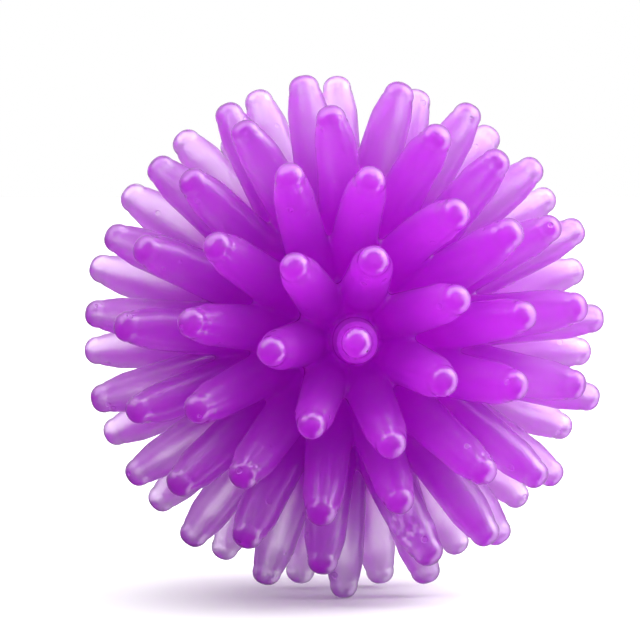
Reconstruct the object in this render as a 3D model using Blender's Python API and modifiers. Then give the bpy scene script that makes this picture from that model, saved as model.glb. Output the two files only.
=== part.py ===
"""Spiked mini massage ball in soft tinted rubber: two hollow halves and the ring that bonds them.

Frame: metres, +Z up, origin at the ball's centre. The two halves meet in the XZ plane. The front
half's middle spike points along -Y and the rear half's along +Y.

A half is modelled once in its own frame, with its middle spike along +Z and its rim just above the
XY plane, and is then turned into place for the front and for the rear.
"""

import math

import bmesh
import bpy
from mathutils import Matrix

MM = 0.001

# Driving dimensions
BALL_RADIUS = 12.5 * MM         # centre to the flat end of a spike
CORE_RADIUS = 5.6 * MM          # outside of the hollow core that the spikes grow from
CAVITY_RADIUS = 3.7 * MM        # inside of the hollow core
CLEARANCE = 0.3 * MM            # between pieces that touch on the real ball

# Spikes: radius of the turned profile, and where its steps lie below the flat end
SPIKE_ROOT_RADIUS = 1.25 * MM
SPIKE_SHOULDER_RADIUS = 0.95 * MM
NUB_BASE_RADIUS = 0.70 * MM
NUB_RADIUS = 0.66 * MM
NUB_END_RADIUS = 0.38 * MM
SHOULDER_DEPTH = 1.30 * MM
NUB_BASE_DEPTH = 0.85 * MM
NUB_ROUND_DEPTH = 0.32 * MM
ROOT_SINK = 0.7 * MM            # how far a spike's root lies inside the core's wall
SPIKE_SIDES = 8

# Rings of spikes round the middle spike: one ring every RING_STEP down from it
RING_STEP = math.radians(20.0)
RING_COUNTS = (1, 7, 13, 17, 19)
RING_STARTS = tuple(math.radians(a) for a in (0.0, 28.5, 7.0, 8.0, 90.0 / 19.0))

# Bond between the rims: a ring in a groove that is cut in both
GROOVE_MIDDLE_RADIUS = 4.7 * MM
GROOVE_WIDTH = 1.2 * MM
GROOVE_DEPTH = 0.7 * MM
BOND_EDGE_RADIUS = 0.1 * MM

# How finely the curved faces are cut, and how far the cutter reaches past the ball
CORE_SUBDIVISIONS = 3
TURNED_STEPS = 40
CAVITY_ROWS = 8
WELD_DISTANCE = 0.01 * MM
HALF_SHARP_ANGLE = math.radians(35.0)
BOND_SHARP_ANGLE = math.radians(40.0)
TRIM = 1.2 * BALL_RADIUS

# Materials
TPR_MAGENTA = (0.42, 0.045, 0.72, 1.0)
TPR_ROUGHNESS = 0.22
BOND_CLEAR = (0.72, 0.60, 0.80, 1.0)
BOND_ROUGHNESS = 0.35


def clear_scene():
    """Removes whatever the open file holds, so the script can be run again."""
    for obj in list(bpy.data.objects):
        bpy.data.objects.remove(obj, do_unlink=True)
    for coll in list(bpy.data.collections):
        bpy.data.collections.remove(coll)


def make_collection(name):
    coll = bpy.data.collections.new(name)
    bpy.context.scene.collection.children.link(coll)
    return coll


def make_material(name, colour, roughness):
    mat = bpy.data.materials.new(name)
    mat.use_nodes = True
    shader = mat.node_tree.nodes["Principled BSDF"]
    shader.inputs["Base Color"].default_value = colour
    shader.inputs["Roughness"].default_value = roughness
    shader.inputs["Metallic"].default_value = 0.0
    return mat


def mark_as_tool(obj):
    """A tool shapes another object and isn't a piece itself."""
    obj.hide_render = True
    obj.display_type = "WIRE"


def turned_object(name, profile, steps, coll, closed=False):
    """An object whose (radius, height) profile is turned about Z by a Screw modifier.

    An outer side runs from top to bottom, which turns its faces outward."""
    mesh = bpy.data.meshes.new(name)
    edges = [(i, i + 1) for i in range(len(profile) - 1)]
    if closed:
        edges.append((len(profile) - 1, 0))
    mesh.from_pydata([(r, 0.0, z) for r, z in profile], edges, [])
    obj = bpy.data.objects.new(name, mesh)
    coll.objects.link(obj)
    screw = obj.modifiers.new("Turn", "SCREW")
    screw.axis = "Z"
    screw.steps = steps
    screw.render_steps = steps
    screw.use_merge_vertices = True
    screw.merge_threshold = WELD_DISTANCE
    return obj


def evaluated_mesh(obj, name):
    """The object's mesh with its modifiers applied, as new mesh data."""
    depsgraph = bpy.context.evaluated_depsgraph_get()
    depsgraph.update()
    mesh = bpy.data.meshes.new_from_object(obj.evaluated_get(depsgraph))
    mesh.name = name
    return mesh


def add_boolean(obj, name, operation, operand):
    """Adds a Boolean with one object, or with a collection of objects."""
    mod = obj.modifiers.new(name, "BOOLEAN")
    mod.solver = "EXACT"
    mod.operation = operation
    if isinstance(operand, bpy.types.Collection):
        mod.operand_type = "COLLECTION"
        mod.collection = operand
    else:
        mod.object = operand


def spike_profile():
    """From the flat end of the nub, over the shoulder, down to the root inside the core's wall."""
    return [
        (0.0, BALL_RADIUS),
        (NUB_END_RADIUS, BALL_RADIUS),
        (NUB_RADIUS, BALL_RADIUS - NUB_ROUND_DEPTH),
        (NUB_BASE_RADIUS, BALL_RADIUS - NUB_BASE_DEPTH),
        (SPIKE_SHOULDER_RADIUS, BALL_RADIUS - SHOULDER_DEPTH),
        (SPIKE_ROOT_RADIUS, CORE_RADIUS - ROOT_SINK),
        (0.0, CORE_RADIUS - ROOT_SINK),
    ]


def spike_turns():
    """One rotation for each spike of a half, taking +Z to the spike's direction."""
    for ring, (count, start) in enumerate(zip(RING_COUNTS, RING_STARTS)):
        for k in range(count):
            spin = Matrix.Rotation(start + k * math.tau / count, 4, "Z")
            yield spin @ Matrix.Rotation(ring * RING_STEP, 4, "Y")


def make_spikes(tools):
    """The half's spikes, each a turned solid that stands on the core."""
    coll = bpy.data.collections.new("spike_blanks")
    tools.children.link(coll)
    blank = turned_object("spike_blank", spike_profile(), SPIKE_SIDES, tools)
    mesh = evaluated_mesh(blank, "spike_blank_mesh")
    mark_as_tool(blank)
    for number, turn in enumerate(spike_turns()):
        spike = bpy.data.objects.new(f"spike_blank_{number:02d}", mesh)
        spike.matrix_world = turn
        mark_as_tool(spike)
        coll.objects.link(spike)
    return coll


def make_hollow_cutter(tools):
    """Cuts the cavity, the rim and the rim's groove, and whatever lies below the rim."""
    rim = CLEARANCE / 2
    inner = GROOVE_MIDDLE_RADIUS - GROOVE_WIDTH / 2
    outer = GROOVE_MIDDLE_RADIUS + GROOVE_WIDTH / 2
    rim_angle = math.acos(rim / CAVITY_RADIUS)
    profile = []
    for k in range(CAVITY_ROWS + 1):
        a = rim_angle * k / CAVITY_ROWS
        profile.append((CAVITY_RADIUS * math.sin(a), CAVITY_RADIUS * math.cos(a)))
    profile += [
        (inner, rim),
        (inner, rim + GROOVE_DEPTH),
        (outer, rim + GROOVE_DEPTH),
        (outer, rim),
        (TRIM, rim),
        (TRIM, -TRIM),
        (0.0, -TRIM),
    ]
    cutter = turned_object("hollow_cutter", profile, TURNED_STEPS, tools)
    mark_as_tool(cutter)
    return cutter


def make_half_mesh(tools):
    """Core, spikes and hollow of one half, as mesh data in the half's own frame."""
    mesh = bpy.data.meshes.new("core_ball")
    bm = bmesh.new()
    bmesh.ops.create_icosphere(bm, subdivisions=CORE_SUBDIVISIONS, radius=CORE_RADIUS)
    bm.to_mesh(mesh)
    bm.free()
    core = bpy.data.objects.new("half_blank", mesh)
    tools.objects.link(core)
    mark_as_tool(core)
    add_boolean(core, "Spikes", "UNION", make_spikes(tools))
    add_boolean(core, "Hollow", "DIFFERENCE", make_hollow_cutter(tools))
    half = evaluated_mesh(core, "half_moulding")
    half.materials.clear()
    half.shade_smooth()
    half.set_sharp_from_angle(angle=HALF_SHARP_ANGLE)
    return half


def add_half(name, mesh, turn, coll):
    """One half of the ball, turned from its own frame to its place."""
    obj = bpy.data.objects.new(name, mesh)
    coll.objects.link(obj)
    obj.matrix_world = turn
    obj.data.materials.clear()
    obj.data.materials.append(make_material(name, TPR_MAGENTA, TPR_ROUGHNESS))
    return obj


def add_bond_ring(coll):
    """The bond ring, which fills the two grooves but for the clearance all round it."""
    inner = GROOVE_MIDDLE_RADIUS - GROOVE_WIDTH / 2 + CLEARANCE
    outer = GROOVE_MIDDLE_RADIUS + GROOVE_WIDTH / 2 - CLEARANCE
    reach = CLEARANCE / 2 + GROOVE_DEPTH - CLEARANCE
    profile = [(outer, reach), (outer, -reach), (inner, -reach), (inner, reach)]
    ring = turned_object("bond_ring", profile, TURNED_STEPS, coll, closed=True)
    ring.rotation_euler = (math.radians(90.0), 0.0, 0.0)
    bevel = ring.modifiers.new("RoundEdges", "BEVEL")
    bevel.width = BOND_EDGE_RADIUS
    bevel.segments = 1
    bevel.limit_method = "ANGLE"
    bevel.angle_limit = BOND_SHARP_ANGLE
    ring.data.materials.append(make_material("bond_ring", BOND_CLEAR, BOND_ROUGHNESS))


def main():
    clear_scene()
    ball = make_collection("massage_ball")
    tools = make_collection("tools")
    half_mesh = make_half_mesh(tools)

    to_front = Matrix.Rotation(math.radians(90.0), 4, "X")
    half_turn = Matrix.Rotation(math.pi, 4, "Z")
    stagger = Matrix.Rotation(-math.pi / RING_COUNTS[-1], 4, "Y")
    add_half("front_half", half_mesh, to_front, ball)
    add_half("rear_half", half_mesh.copy(), stagger @ half_turn @ to_front, ball)
    add_bond_ring(ball)


main()
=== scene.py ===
"""Looks of the spiked mini massage ball: two translucent soft-rubber halves and their bond ring.

Lengths are in metres. The ball's centre is the frame's origin, the halves meet in the XZ plane,
and the front half's middle spike points along -Y, towards the camera. A half is made in its own
frame, with its middle spike along +Z, and is then turned into place.
"""

import math
import random

import bmesh
import bpy
import numpy as np
from mathutils import Matrix, Vector


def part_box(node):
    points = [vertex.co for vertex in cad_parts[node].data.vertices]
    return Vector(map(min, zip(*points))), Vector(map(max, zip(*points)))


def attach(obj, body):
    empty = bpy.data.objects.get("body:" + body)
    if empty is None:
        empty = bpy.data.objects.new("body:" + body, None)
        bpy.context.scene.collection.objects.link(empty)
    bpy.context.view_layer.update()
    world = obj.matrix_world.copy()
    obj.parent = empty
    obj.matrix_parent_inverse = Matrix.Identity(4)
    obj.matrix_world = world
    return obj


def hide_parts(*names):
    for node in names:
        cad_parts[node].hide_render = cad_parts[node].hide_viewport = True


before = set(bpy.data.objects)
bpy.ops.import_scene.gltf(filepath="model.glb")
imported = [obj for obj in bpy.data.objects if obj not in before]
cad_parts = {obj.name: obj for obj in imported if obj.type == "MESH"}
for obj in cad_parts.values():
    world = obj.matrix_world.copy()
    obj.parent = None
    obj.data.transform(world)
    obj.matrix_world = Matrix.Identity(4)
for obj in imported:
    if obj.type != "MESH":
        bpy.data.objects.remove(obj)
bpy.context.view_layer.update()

MM = 0.001

# The ball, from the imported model
BALL_RADIUS = -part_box("front_half")[0].y
BOND_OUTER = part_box("bond_ring")[1].x
BOND_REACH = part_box("bond_ring")[1].y

# Core and cavity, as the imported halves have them
CORE_RADIUS = 0.448 * BALL_RADIUS
CAVITY_RADIUS = 0.296 * BALL_RADIUS

# Rings of spikes round the middle one
RING_STEP = math.radians(20.0)
RING_COUNTS = (1, 7, 13, 17, 19)
RING_STARTS = tuple(math.radians(a) for a in (0.0, 28.5, 7.0, 8.0, 90.0 / 19.0))

# How far the tips of the most bent spikes of the front half stand off their places, in mm:
# (ring, number in the ring): (away from the middle spike, counter-clockwise as the camera sees it)
FRONT_BENDS = {
    (0, 0): (-0.45, 0.22),
    (1, 0): (0.6, -0.2), (1, 1): (-0.4, 0.3), (1, 2): (0.7, 0.0), (1, 5): (0.6, 0.0),
    (1, 6): (-0.3, -0.1), (2, 0): (-0.4, 0.4), (2, 1): (1.2, 0.2), (2, 2): (-0.9, -1.2),
    (2, 3): (-0.6, -0.5), (2, 4): (0.5, -0.8), (2, 10): (-0.7, 0.0), (2, 11): (0.5, 0.4),
    (2, 12): (-0.9, 0.8), (3, 3): (-1.0, -0.7), (3, 4): (-0.4, 0.7), (3, 5): (0.9, 0.8),
    (3, 13): (0.0, 1.3), (3, 14): (1.3, 0.0), (3, 15): (0.5, -0.5), (4, 4): (-0.8, -0.6),
}

# Chance differences between spikes: place of the tip in mm, and shares of length, width, roundness
FRONT_SEED = 11
REAR_SEED = 23
PLACE_SPREAD = 0.16
LENGTH_SPREAD = 0.006
WIDTH_SPREAD = 0.02
OVAL_SPREAD = 0.015

# Half widths of a spike's turned profile, and where its features lie
ROOT_WIDTH = 1.18 * MM
SHOULDER_WIDTH = 0.94 * MM
STEP_WIDTH = 0.75 * MM
NUB_WIDTH = 0.69 * MM
END_WIDTH = 0.10 * MM
ROOT_AT = 4.6 * MM                              # distance from the ball's centre
SHOULDER_DEPTH = 1.95 * MM                      # below the nub's end, as the next two
STEP_DEPTH = 0.86 * MM
DOME_DEPTH = 0.62 * MM
SPIKE_LENGTH = BALL_RADIUS - ROOT_AT

# Room round the bond ring and between the halves
SEAM = 0.02 * MM                                # from the XZ plane to a half's rim
BOND_ROOM = 0.1 * MM
GROOVE_INSIDE = BOND_OUTER - 0.75 * MM
CUTTER_RADIUS = 1.3 * BALL_RADIUS

# How finely the skin is made
SHAFT_ROWS = 13
CURVE_ROWS = 10
SPIKE_SIDES = 40
CORE_SUBDIVISIONS = 5
CAVITY_ROWS = 24
TURNED_STEPS = 96
WELD_DISTANCE = 0.005 * MM
VOXEL = 0.10 * MM
SKIN_TRIANGLES = 190000
SHARP_ANGLE = math.radians(60.0)

# Rounding of the creases at the roots: it fades out with distance from the ball's centre
SOFTEN_ROUNDS = 14
SOFTEN_RATE = 0.6
SOFTEN_END = 8.6 * MM
SOFTEN_FADE = 1.6 * MM
SOFTEN_LEAST = 0.08

# Exact spike ends: how much of a spike's end, and how far a point may lie off the profile
SNAP_DEPTH = 2.3 * MM
SNAP_FADE = 0.3 * SNAP_DEPTH
SNAP_REACH = 0.12 * MM
SNAP_WIDTH = 1.5 * SHOULDER_WIDTH
SNAP_ROUNDS = 3
LEAST_RADIUS = 0.001 * MM

# Pairs named OVER say where a change starts and where it is complete

# Rubber's surface colour: painted shade among the roots, painted light at the tips, and a cloudy tone
ROOT_PAINTED_SHADE = (0.82, 0.22, 0.93, 1.0)
TIP_PAINTED_LIGHT = (0.82, 0.71, 0.94, 1.0)
CLOUD_SHADE = (0.88, 0.78, 0.92, 1.0)
WHITE = (1.0, 1.0, 1.0, 1.0)
CLOUD_SIZE = 2.2 * MM
PAINTED_SHADE_TO_LIGHT_OVER = (1.05 * CORE_RADIUS, 0.80 * BALL_RADIUS)       # from the painted shade among the roots to the painted light at the tips

# Rubber's inside: the dye and the milkiness, which act per metre
BODY_DYE = (0.91, 0.0, 0.965, 1.0)
DYE_DENSITY = 430.0
MILK = (0.80, 0.05, 1.0, 1.0)
MILK_DENSITY = 650.0
MILK_FORWARD = 0.3                              # how far the milkiness sends light on forwards

# Rubber's surface
RUBBER_IOR = 1.45
SPECULAR = 0.1
LEAST_ROUGHNESS = 0.34
CLOUD_ROUGHNESS = 0.12
COAT_ROUGHNESS = 0.06
ROOT_GLOSS = 0.8
SHAFT_GLOSS = 0.08
ROOT_GLOSS_OVER = (1.25 * CORE_RADIUS, 1.40 * CORE_RADIUS)
NUB_GLOSS_OVER = (BALL_RADIUS - 1.1 * STEP_DEPTH, BALL_RADIUS - 0.8 * STEP_DEPTH)
GRAIN_SIZE = 0.30 * MM
RELIEF = 0.0022 * MM
PIT_DEPTH = -22.0                               # in units of the relief
PIT_SPACING = 0.8 * MM
PIT_RADIUS = 0.17 * MM
PIT_SHARE = 0.30
PITS_OVER = (BALL_RADIUS - 2.4 * MM, BALL_RADIUS - 1.6 * MM)

# Share of a dot's radius, in specks and pits, inside which it is at full strength
DOT_SOLID = 0.7

# Handling marks: dark specks, and a scuffed patch on one spike
SPECK = (0.05, 0.02, 0.04, 1.0)
SPECK_SPACING = 2.6 * MM
SPECK_RADIUS = 0.075 * MM
SPECK_SHARE = 0.07
SCUFFED_SPIKE = (3, 13)
SCUFF_OUT = 0.86 * BALL_RADIUS
SCUFF_OVER = (0.9 * MM, 2.0 * MM)
SCUFF_GRAIN_OVER = (0.38, 0.70)
SCUFF_MILK = (0.92, 0.70, 0.98, 1.0)
SCUFF_COLOUR_SHARE = 0.5
SCUFF_CLOUDING = -0.30                          # what it adds to the transmission
SCUFF_RELIEF = 2.0                              # and to the relief

# Bond
BOND_DEEP = (0.50, 0.34, 0.62, 1.0)
BOND_PALE = (0.72, 0.60, 0.80, 1.0)
BOND_CLOUD_SIZE = 0.8 * MM
BOND_GRAIN_SIZE = 0.3 * MM
BOND_RELIEF = 0.02 * MM
BOND_SHEEN_SIZE = 0.6 * MM
BOND_SHEEN_OVER = (0.3, 0.7)
BOND_ROUGHNESS = (0.3, 0.5)
BOND_PIT_SPACING = 0.5 * MM
BOND_PIT_RADIUS = 0.08 * MM
BOND_PIT_SHARE = 0.3

# Tent of light. Depth is how squarely a direction points away from the camera, from -1 to 1
TENT_OVER = (-0.6, 0.1)
TENT_STRENGTH = (1.68, 2.63)                    # on the camera's side, and beyond the ball
TENT_LEAN = (0.52, 0.0, 0.12)                   # brighter to the right, and a little above

# What glossy skin mirrors: a band at the sides, open at the lower left, and a soft lamp
BAND_START_OVER = (-0.52, -0.38)
BAND_END_OVER = (0.20, 0.50)
BAND_STRENGTH = (3.3, 0.4)                      # in the band, and beyond it
ARC_WAY = (0.7, 0.0, 0.7)
ARC_OVER = (-0.65, -0.05)
LAMP_WAY = (0.75, -0.15, 0.64)
LAMP_OVER = (0.62, 0.95)
LAMP_STRENGTH = 1.2
MIRRORED_LEAST = 0.05

# Floor, lamp and camera
FLOOR_HALF_SIZE = 4.0
FLOOR_SHADE = (0.70, 0.70, 0.70, 1.0)
FLOOR_ROUGHNESS = 0.9
KEY_PLACE = Vector((0.30, -0.04, 0.25))
KEY_SIZE = 0.22
KEY_POWER = 1.2
AZIMUTH = math.radians(-4.8)
ELEVATION = math.radians(2.7)
CAMERA_DISTANCE = 12.2 * BALL_RADIUS
CAMERA_LENS = 180.0
CAMERA_SHIFT = (-0.036, 0.022)


# ---------------------------------------------------------------- shapes

def spike_profile():
    """(radius, distance from the ball's centre) from the root inside the core to the nub's end.

    The shaft tapers up to a rounded shoulder, which runs in a hollow curve into the nub, and the nub
    is a dome with a small flat end."""
    shoulder_at = BALL_RADIUS - SHOULDER_DEPTH
    step_at = BALL_RADIUS - STEP_DEPTH
    dome_at = BALL_RADIUS - DOME_DEPTH
    rows = []
    for k in range(SHAFT_ROWS + 1):
        t = k / SHAFT_ROWS
        rows.append((ROOT_WIDTH + (SHOULDER_WIDTH - ROOT_WIDTH) * t,
                     ROOT_AT + (shoulder_at - ROOT_AT) * t))
    for k in range(1, CURVE_ROWS + 1):
        hollow = 0.25 + 0.25 * math.cos(math.pi * k / CURVE_ROWS)
        bulging = 0.5 * math.cos(math.pi / 2 * k / CURVE_ROWS)
        rows.append((STEP_WIDTH + (SHOULDER_WIDTH - STEP_WIDTH) * (hollow + bulging),
                     shoulder_at + (step_at - shoulder_at) * k / CURVE_ROWS))
    rows.append((NUB_WIDTH, (step_at + dome_at) / 2))
    for k in range(CURVE_ROWS + 1):
        a = math.pi / 2 * k / CURVE_ROWS
        rows.append((END_WIDTH + (NUB_WIDTH - END_WIDTH) * math.cos(a),
                     dome_at + (BALL_RADIUS - dome_at) * math.sin(a)))
    return rows


def spike_turn(ring, number):
    """The rotation that takes +Z to a spike's direction in its half's own frame."""
    spin = RING_STARTS[ring] + number * math.tau / RING_COUNTS[ring]
    return Matrix.Rotation(spin, 3, "Z") @ Matrix.Rotation(ring * RING_STEP, 3, "Y")


def bent(radius, at, side_x, side_y, shape):
    """Points of a bent spike, from radii, distances from the ball's centre and sideways directions."""
    turn, lean, longer, thicker, oval = shape
    at = ROOT_AT + (at - ROOT_AT) * longer
    along = ((at - ROOT_AT) / SPIKE_LENGTH)[:, None]
    offset = lean * along ** 2
    slope = 2 * lean * along / SPIKE_LENGTH
    x = offset[:, 0] + radius * thicker * oval * side_x
    y = offset[:, 1] + radius * thicker / oval * side_y
    z = at - radius * (slope[:, 0] * side_x + slope[:, 1] * side_y)
    return np.stack([x, y, z], 1) @ turn.T


def spike_faces(first, rows):
    """Faces of a spike whose points start at number first, row by row, with its two end points last."""
    top = first + (rows - 1) * SPIKE_SIDES
    root = top + SPIKE_SIDES
    end = root + 1
    faces = []
    for low in range(first, top, SPIKE_SIDES):
        high = low + SPIKE_SIDES
        for i in range(SPIKE_SIDES):
            j = (i + 1) % SPIKE_SIDES
            faces.append((low + i, low + j, high + j, high + i))
    for i in range(SPIKE_SIDES):
        j = (i + 1) % SPIKE_SIDES
        faces.append((root, first + j, first + i))
        faces.append((end, top + i, top + j))
    return faces


def half_spikes(rng, bends):
    """Points, faces and shapes of a half's bent spikes, in the half's own frame.

    A spike's shape is (turn, lean, longer, thicker, oval), as bent and snap_tips take it."""
    rows = np.array(spike_profile())
    angles = np.linspace(0.0, math.tau, SPIKE_SIDES, endpoint=False)
    at, side_x = [a.ravel() for a in np.meshgrid(rows[:, 1], np.cos(angles), indexing="ij")]
    radius, side_y = [a.ravel() for a in np.meshgrid(rows[:, 0], np.sin(angles), indexing="ij")]
    points, faces, shapes = [], [], []
    first = 0
    for ring, count in enumerate(RING_COUNTS):
        for number in range(count):
            turn = np.array(spike_turn(ring, number))
            chance = (rng.gauss(0, PLACE_SPREAD), rng.gauss(0, PLACE_SPREAD))
            lean = np.array(bends.get((ring, number), chance)) * MM
            longer = 1.0 + rng.gauss(0, LENGTH_SPREAD)
            thicker = 1.0 + rng.gauss(0, WIDTH_SPREAD)
            oval = 1.0 + rng.gauss(0, OVAL_SPREAD)
            shape = (turn, lean, longer, thicker, oval)
            ends = np.array([[0, 0, ROOT_AT], [*lean, ROOT_AT + SPIKE_LENGTH * longer]])
            points += [bent(radius, at, side_x, side_y, shape), ends @ turn.T]
            faces += spike_faces(first, len(rows))
            shapes.append(shape)
            first += len(rows) * SPIKE_SIDES + len(ends)
    return np.concatenate(points), faces, shapes


def link(obj):
    bpy.context.scene.collection.objects.link(obj)
    return obj


def applied(obj):
    """Applies the object's modifiers to its mesh."""
    depsgraph = bpy.context.evaluated_depsgraph_get()
    depsgraph.update()
    mesh = bpy.data.meshes.new_from_object(obj.evaluated_get(depsgraph))
    old = obj.data
    obj.modifiers.clear()
    obj.data = mesh
    bpy.data.meshes.remove(old)
    return obj


def get_points(mesh):
    points = np.empty(len(mesh.vertices) * 3)
    mesh.vertices.foreach_get("co", points)
    return points.reshape(-1, 3)


def set_points(mesh, points):
    mesh.vertices.foreach_set("co", points.ravel())
    mesh.update()


def turned(name, profile):
    """A closed solid turned about Z from a (radius, height) profile."""
    mesh = bpy.data.meshes.new(name)
    edges = [(i, i + 1) for i in range(len(profile) - 1)]
    mesh.from_pydata([(r, 0, z) for r, z in profile], edges, [])
    obj = link(bpy.data.objects.new(name, mesh))
    screw = obj.modifiers.new("Turn", "SCREW")
    screw.axis = "Z"
    screw.steps = TURNED_STEPS
    screw.render_steps = TURNED_STEPS
    screw.use_merge_vertices = True
    screw.merge_threshold = WELD_DISTANCE
    return applied(obj)


def hollow_cutter():
    """Cavity, groove for the bond ring and everything past the rim, in the half's own frame."""
    outside = BOND_OUTER + BOND_ROOM
    depth = BOND_REACH + BOND_ROOM
    rim_angle = math.acos(SEAM / CAVITY_RADIUS)
    profile = []
    for k in range(CAVITY_ROWS + 1):
        a = rim_angle * k / CAVITY_ROWS
        profile.append((CAVITY_RADIUS * math.sin(a), CAVITY_RADIUS * math.cos(a)))
    profile += [(GROOVE_INSIDE, SEAM), (GROOVE_INSIDE, depth), (outside, depth), (outside, SEAM)]
    profile += [(CUTTER_RADIUS, SEAM), (CUTTER_RADIUS, -BALL_RADIUS), (0.0, -BALL_RADIUS)]
    return turned("hollow_cutter", profile)


def soften_roots(mesh):
    """Rounds the creases where the spikes grow out of the core by averaging neighbours there."""
    co = get_points(mesh)
    edges = np.empty(len(mesh.edges) * 2, int)
    mesh.edges.foreach_get("vertices", edges)
    edges = edges.reshape(-1, 2)
    degree = np.bincount(edges.ravel(), minlength=len(co))[:, None]
    out = np.linalg.norm(co, axis=1)
    weight = np.clip((SOFTEN_END - out) / SOFTEN_FADE, SOFTEN_LEAST, 1.0)[:, None]
    for _ in range(SOFTEN_ROUNDS):
        total = np.zeros_like(co)
        np.add.at(total, edges[:, 0], co[edges[:, 1]])
        np.add.at(total, edges[:, 1], co[edges[:, 0]])
        co = co + (total / degree - co) * SOFTEN_RATE * weight
    set_points(mesh, co)


def snap_tips(mesh, shapes):
    """Puts the points near each spike's end back on its exact profile, so that nubs mirror cleanly."""
    profile = np.array(spike_profile() + [(0.0, BALL_RADIUS)])
    profile = profile[profile[:, 1] > BALL_RADIUS - SNAP_DEPTH]
    start, step = profile[:-1], np.diff(profile, axis=0)
    length = (step ** 2).sum(1)
    co = get_points(mesh)
    for shape in shapes:
        turn, lean, longer, thicker, oval = shape
        local = co @ turn
        close = np.hypot(local[:, 0] - lean[0], local[:, 1] - lean[1]) < SNAP_WIDTH
        chosen = np.flatnonzero(close & (local[:, 2] > BALL_RADIUS - SNAP_DEPTH))
        point = local[chosen]

        # where each point lies along the spike's bent axis, and how far off it
        at = point[:, 2]
        for _ in range(SNAP_ROUNDS):
            along = ((at - ROOT_AT) / SPIKE_LENGTH)[:, None]
            across = point[:, :2] - lean * along ** 2
            at = point[:, 2] + (across * 2 * lean * along).sum(1) / SPIKE_LENGTH
        side = across / np.array([thicker * oval, thicker / oval])
        radius = np.maximum(np.hypot(side[:, 0], side[:, 1]), LEAST_RADIUS)
        here = np.stack([radius, ROOT_AT + (at - ROOT_AT) / longer], 1)

        # the nearest place on the profile
        t = ((here[:, None] - start) * step).sum(2) / length
        foot = start + step * np.clip(t, 0.0, 1.0)[:, :, None]
        gap = np.linalg.norm(here[:, None] - foot, axis=2)
        best = gap.argmin(1)
        nearest = foot[np.arange(len(best)), best]

        sides = side / radius[:, None]
        snapped = bent(nearest[:, 0], nearest[:, 1], sides[:, 0], sides[:, 1], shape)
        share = np.clip((here[:, 1] - BALL_RADIUS + SNAP_DEPTH) / SNAP_FADE, 0.0, 1.0)
        share = (share * (gap.min(1) < SNAP_REACH))[:, None]
        co[chosen] += (snapped - co[chosen]) * share
    set_points(mesh, co)


def make_half(name, seed, bends, cutter, turn):
    """One half's fine skin: bent spikes and core fused, roots rounded, ends made exact, hollow cut."""
    points, faces, shapes = half_spikes(random.Random(seed), bends)
    bm = bmesh.new()
    bmesh.ops.create_icosphere(bm, subdivisions=CORE_SUBDIVISIONS, radius=CORE_RADIUS)
    core = bpy.data.meshes.new("core")
    bm.to_mesh(core)
    bm.free()
    first = len(points)
    points = list(map(tuple, points)) + [tuple(v.co) for v in core.vertices]
    faces = faces + [tuple(i + first for i in face.vertices) for face in core.polygons]
    bpy.data.meshes.remove(core)
    mesh = bpy.data.meshes.new(name)
    mesh.from_pydata(points, [], faces)
    obj = link(bpy.data.objects.new(name, mesh))
    remesh = obj.modifiers.new("Fuse", "REMESH")
    remesh.mode = "VOXEL"
    remesh.voxel_size = VOXEL
    applied(obj)
    soften_roots(obj.data)
    thin = obj.modifiers.new("Thin", "DECIMATE")
    thin.ratio = SKIN_TRIANGLES / (2 * len(obj.data.polygons))
    applied(obj)
    snap_tips(obj.data, shapes)
    cut = obj.modifiers.new("Hollow", "BOOLEAN")
    cut.operation = "DIFFERENCE"
    cut.solver = "MANIFOLD"
    cut.object = cutter
    applied(obj)
    obj.data.transform(turn)
    obj.data.shade_smooth()
    obj.data.set_sharp_from_angle(angle=SHARP_ANGLE)
    return obj


# ---------------------------------------------------------------- materials and world

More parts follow.
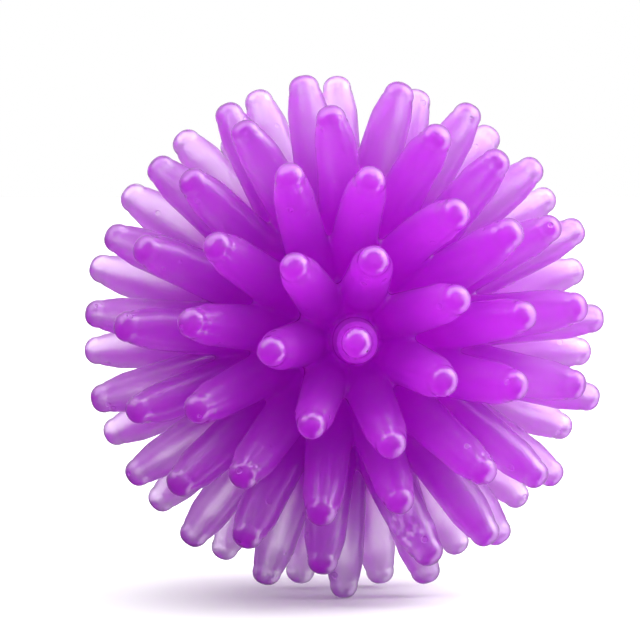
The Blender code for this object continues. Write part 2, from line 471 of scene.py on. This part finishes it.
class Nodes:
    """Short calls for building a shader's node tree."""

    def __init__(self, tree):
        self.nodes, self.links = tree.nodes, tree.links

    def put(self, kind, **settings):
        node = self.nodes.new(kind)
        for key, value in settings.items():
            setattr(node, key, value)
        return node

    def give(self, socket, value):
        """Sets a socket to a number or colour, or links it to another node's output."""
        if isinstance(value, bpy.types.NodeSocket):
            self.links.new(value, socket)
        else:
            socket.default_value = value

    def feed(self, node, **inputs):
        """Gives values to a node's inputs by name, where _ stands for a space."""
        for key, value in inputs.items():
            self.give(node.inputs[key.replace("_", " ")], value)
        return node

    def math(self, operation, *values):
        node = self.put("ShaderNodeMath", operation=operation)
        for socket, value in zip(node.inputs, values):
            self.give(socket, value)
        return node.outputs["Value"]

    def ramp(self, value, start, end, low=0.0, high=1.0):
        """Smooth step from low to high between start and end."""
        node = self.put("ShaderNodeMapRange", interpolation_type="SMOOTHSTEP")
        self.feed(node, Value=value, From_Min=start, From_Max=end, To_Min=low, To_Max=high)
        return node.outputs["Result"]

    def mix(self, factor, first, second, kind="FLOAT", blend="MIX"):
        node = self.put("ShaderNodeMix", data_type=kind)
        if kind == "RGBA":
            node.blend_type = blend
        sockets = [k for k in node.inputs if k.enabled and k.name in ("Factor", "A", "B")]
        for socket, value in zip(sockets, (factor, first, second)):
            self.give(socket, value)
        return [k for k in node.outputs if k.enabled][0]

    def vector_math(self, operation, first, second):
        node = self.put("ShaderNodeVectorMath", operation=operation)
        self.give(node.inputs[0], first)
        self.give(node.inputs[1], second)
        return node.outputs["Value"]

    def dot(self, vector, axis):
        return self.vector_math("DOT_PRODUCT", vector, axis)

    def distance(self, vector, point=(0.0, 0.0, 0.0)):
        return self.vector_math("DISTANCE", vector, point)

    def noise(self, vector, size, detail=2.0):
        """Noise whose lumps are about size across."""
        node = self.put("ShaderNodeTexNoise")
        self.feed(node, Vector=vector, Scale=1.0 / size, Detail=detail, Roughness=0.5)
        return node.outputs["Fac"]

    def dots(self, vector, spacing, radius, share):
        """1 in small soft-edged dots, about spacing apart, of which only a share are kept."""
        node = self.put("ShaderNodeTexVoronoi")
        self.feed(node, Vector=vector, Scale=1.0 / spacing)
        edge = radius / spacing
        inside = self.ramp(node.outputs["Distance"], DOT_SOLID * edge, edge, 1.0, 0.0)
        split = self.put("ShaderNodeSeparateColor")
        self.links.new(node.outputs["Color"], split.inputs[0])
        return self.math("MULTIPLY", inside, self.math("LESS_THAN", split.outputs[0], share))


def new_material(name):
    """A material, its Principled shader and its node tree."""
    mat = bpy.data.materials.new(name)
    mat.use_nodes = True
    return mat, mat.node_tree.nodes["Principled BSDF"], Nodes(mat.node_tree)


def rubber_material(scuff_at):
    """Clear soft rubber with a magenta-violet dye: it lets light through, clouds it a little and
    takes up green, so thick places go deep and thin ones stay pale. Its surface colour also has
    painted shade deep among the roots and painted light pale at the tips. Nubs and roots are glossy."""
    mat, shader, tree = new_material("tinted_rubber")
    place = tree.put("ShaderNodeTexCoord").outputs["Object"]
    out = tree.distance(place)

    # surface colour: painted shade deeper among the roots and painted light paler at the tips, slightly
    # cloudy from place to place
    cloud = tree.noise(place, CLOUD_SIZE, detail=1.0)
    surface_colour = tree.mix(tree.ramp(out, *PAINTED_SHADE_TO_LIGHT_OVER), ROOT_PAINTED_SHADE, TIP_PAINTED_LIGHT, "RGBA")
    surface_colour = tree.mix(1.0, surface_colour, tree.mix(cloud, CLOUD_SHADE, WHITE, "RGBA"), "RGBA", "MULTIPLY")

    # handling marks: a few dark specks, and one scuffed and milky spike
    surface_colour = tree.mix(tree.dots(place, SPECK_SPACING, SPECK_RADIUS, SPECK_SHARE), surface_colour, SPECK, "RGBA")
    grain = tree.noise(place, GRAIN_SIZE)
    near = tree.ramp(tree.distance(place, scuff_at), *SCUFF_OVER, 1.0, 0.0)
    scuff = tree.math("MULTIPLY", near, tree.ramp(grain, *SCUFF_GRAIN_OVER))
    surface_colour = tree.mix(tree.math("MULTIPLY", scuff, SCUFF_COLOUR_SHARE), surface_colour, SCUFF_MILK, "RGBA")

    # relief: the mould's fine texture, coarser where it is scuffed, and small pits near the nubs
    coarser = tree.math("MULTIPLY_ADD", near, SCUFF_RELIEF, 1.0)
    pits = tree.dots(place, PIT_SPACING, PIT_RADIUS, PIT_SHARE)
    pits = tree.math("MULTIPLY", pits, tree.ramp(out, *PITS_OVER))
    height = tree.math("MULTIPLY_ADD", pits, PIT_DEPTH, tree.math("MULTIPLY", grain, coarser))
    bump = tree.put("ShaderNodeBump")
    normal = tree.feed(bump, Height=height, Strength=1.0, Distance=RELIEF).outputs["Normal"]

    # skin: glossy on the nubs, in the pits and between the roots, satin on the shafts
    nub_gloss = tree.ramp(out, *NUB_GLOSS_OVER)
    root_gloss = tree.ramp(out, *ROOT_GLOSS_OVER, ROOT_GLOSS, SHAFT_GLOSS)
    gloss = tree.math("MAXIMUM", tree.math("MAXIMUM", nub_gloss, root_gloss), pits)
    rough = tree.math("MULTIPLY_ADD", cloud, CLOUD_ROUGHNESS, LEAST_ROUGHNESS)
    clear = tree.math("MULTIPLY_ADD", scuff, SCUFF_CLOUDING, 1.0)
    tree.feed(shader, Base_Color=surface_colour, Roughness=rough, Transmission_Weight=clear, Normal=normal)
    tree.feed(shader, IOR=RUBBER_IOR, Specular_IOR_Level=SPECULAR)
    tree.feed(shader, Coat_Weight=gloss, Coat_Roughness=COAT_ROUGHNESS, Coat_IOR=RUBBER_IOR,
              Coat_Normal=normal)

    # inside: it takes up light with depth, and scatters some of it
    dyed = tree.feed(tree.put("ShaderNodeVolumeAbsorption"), Color=BODY_DYE, Density=DYE_DENSITY)
    milky = tree.feed(tree.put("ShaderNodeVolumeScatter"), Color=MILK, Density=MILK_DENSITY,
                      Anisotropy=MILK_FORWARD)
    both = tree.put("ShaderNodeAddShader")
    tree.links.new(dyed.outputs[0], both.inputs[0])
    tree.links.new(milky.outputs[0], both.inputs[1])
    tree.links.new(both.outputs[0], mat.node_tree.nodes["Material Output"].inputs["Volume"])
    return mat


def bond_material():
    """Cloudy adhesive: pale, with small pits and a satin skin."""
    mat, shader, tree = new_material("bond")
    place = tree.put("ShaderNodeTexCoord").outputs["Object"]
    cloud = tree.noise(place, BOND_CLOUD_SIZE, detail=3.0)
    surface_colour = tree.mix(cloud, BOND_DEEP, BOND_PALE, "RGBA")
    pits = tree.dots(place, BOND_PIT_SPACING, BOND_PIT_RADIUS, BOND_PIT_SHARE)
    height = tree.math("SUBTRACT", tree.noise(place, BOND_GRAIN_SIZE), pits)
    bump = tree.put("ShaderNodeBump")
    tree.feed(bump, Height=height, Strength=1.0, Distance=BOND_RELIEF)
    rough = tree.ramp(tree.noise(place, BOND_SHEEN_SIZE), *BOND_SHEEN_OVER, *BOND_ROUGHNESS)
    tree.feed(shader, Base_Color=surface_colour, Roughness=rough, Normal=bump.outputs["Normal"])
    return mat


def floor_material():
    mat, shader, tree = new_material("floor")
    tree.feed(shader, Base_Color=FLOOR_SHADE, Roughness=FLOOR_ROUGHNESS)
    return mat


def studio_world():
    """A light tent: white to the camera, dimmer on the camera's side and brighter beyond the ball.

    Glossy skin mirrors a band at the sides and a soft lamp instead, for its crisp highlights."""
    world = bpy.data.worlds.new("studio")
    bpy.context.scene.world = world
    world.use_nodes = True
    tree = Nodes(world.node_tree)
    way = tree.put("ShaderNodeTexCoord").outputs["Generated"]
    depth = tree.dot(way, (0.0, 1.0, 0.0))

    lean = tree.math("ADD", tree.dot(way, TENT_LEAN), 1.0)
    light = tree.math("MULTIPLY", tree.ramp(depth, *TENT_OVER, *TENT_STRENGTH), lean)
    start = tree.ramp(depth, *BAND_START_OVER)
    band = tree.math("MULTIPLY", start, tree.ramp(depth, *BAND_END_OVER, *BAND_STRENGTH))
    arc = tree.ramp(tree.dot(way, ARC_WAY), *ARC_OVER)
    lamp = tree.ramp(tree.dot(way, LAMP_WAY), *LAMP_OVER, 0.0, LAMP_STRENGTH)
    mirrored = tree.math("MULTIPLY_ADD", band, arc, tree.math("ADD", lamp, MIRRORED_LEAST))

    seen = tree.put("ShaderNodeLightPath")
    strength = tree.mix(seen.outputs["Is Glossy Ray"], light, mirrored)
    strength = tree.mix(seen.outputs["Is Camera Ray"], strength, 1.0)
    tree.feed(world.node_tree.nodes["Background"], Color=WHITE, Strength=strength)


# ---------------------------------------------------------------- build

to_front = Matrix.Rotation(math.radians(90.0), 4, "X")
to_rear = (Matrix.Rotation(-math.pi / RING_COUNTS[-1], 4, "Y") @ Matrix.Rotation(math.pi, 4, "Z")
           @ to_front)

cutter = hollow_cutter()
front = make_half("front_skin", FRONT_SEED, FRONT_BENDS, cutter, to_front)
rear = make_half("rear_skin", REAR_SEED, {}, cutter, to_rear)
bpy.data.objects.remove(cutter)

scuff_at = to_front.to_3x3() @ (spike_turn(*SCUFFED_SPIKE) @ Vector((0.0, 0.0, SCUFF_OUT)))
rubber = rubber_material(scuff_at)
for skin, node in ((front, "front_half"), (rear, "rear_half")):
    skin.data.materials.clear()
    skin.data.materials.append(rubber)
    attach(skin, "root")
    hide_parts(node)
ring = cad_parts["bond_ring"]
ring.data.materials.clear()
ring.data.materials.append(bond_material())

# ---------------------------------------------------------------- floor, light, camera

bm = bmesh.new()
bmesh.ops.create_grid(bm, x_segments=1, y_segments=1, size=FLOOR_HALF_SIZE)
floor_mesh = bpy.data.meshes.new("floor")
bm.to_mesh(floor_mesh)
bm.free()
floor = link(bpy.data.objects.new("floor", floor_mesh))
floor.location.z = min(v.co.z for skin in (front, rear) for v in skin.data.vertices)
floor.data.materials.append(floor_material())
floor.visible_glossy = False

key_data = bpy.data.lights.new("key", "AREA")
key_data.shape = "DISK"
key_data.size = KEY_SIZE
key_data.energy = KEY_POWER
key = link(bpy.data.objects.new("key", key_data))
key.location = KEY_PLACE
key.rotation_euler = (-KEY_PLACE).to_track_quat("-Z", "Y").to_euler()
key.visible_glossy = False

studio_world()

# Light passes through many spikes and scatters inside them before it comes out
cycles = bpy.context.scene.cycles
cycles.max_bounces = 32
cycles.transmission_bounces = 24
cycles.volume_bounces = 16

bpy.context.scene.view_settings.view_transform = "Standard"

toward = Vector((math.sin(AZIMUTH) * math.cos(ELEVATION), -math.cos(AZIMUTH) * math.cos(ELEVATION),
                 math.sin(ELEVATION)))
camera_data = bpy.data.cameras.new("camera")
camera_data.lens = CAMERA_LENS
camera_data.clip_start = 0.005
camera_data.clip_end = 50.0
camera_data.shift_x = CAMERA_SHIFT[0]
camera_data.shift_y = CAMERA_SHIFT[1]
camera = link(bpy.data.objects.new("camera", camera_data))
camera.location = toward * CAMERA_DISTANCE
camera.rotation_euler = (-toward).to_track_quat("-Z", "Y").to_euler()
bpy.context.scene.camera = camera
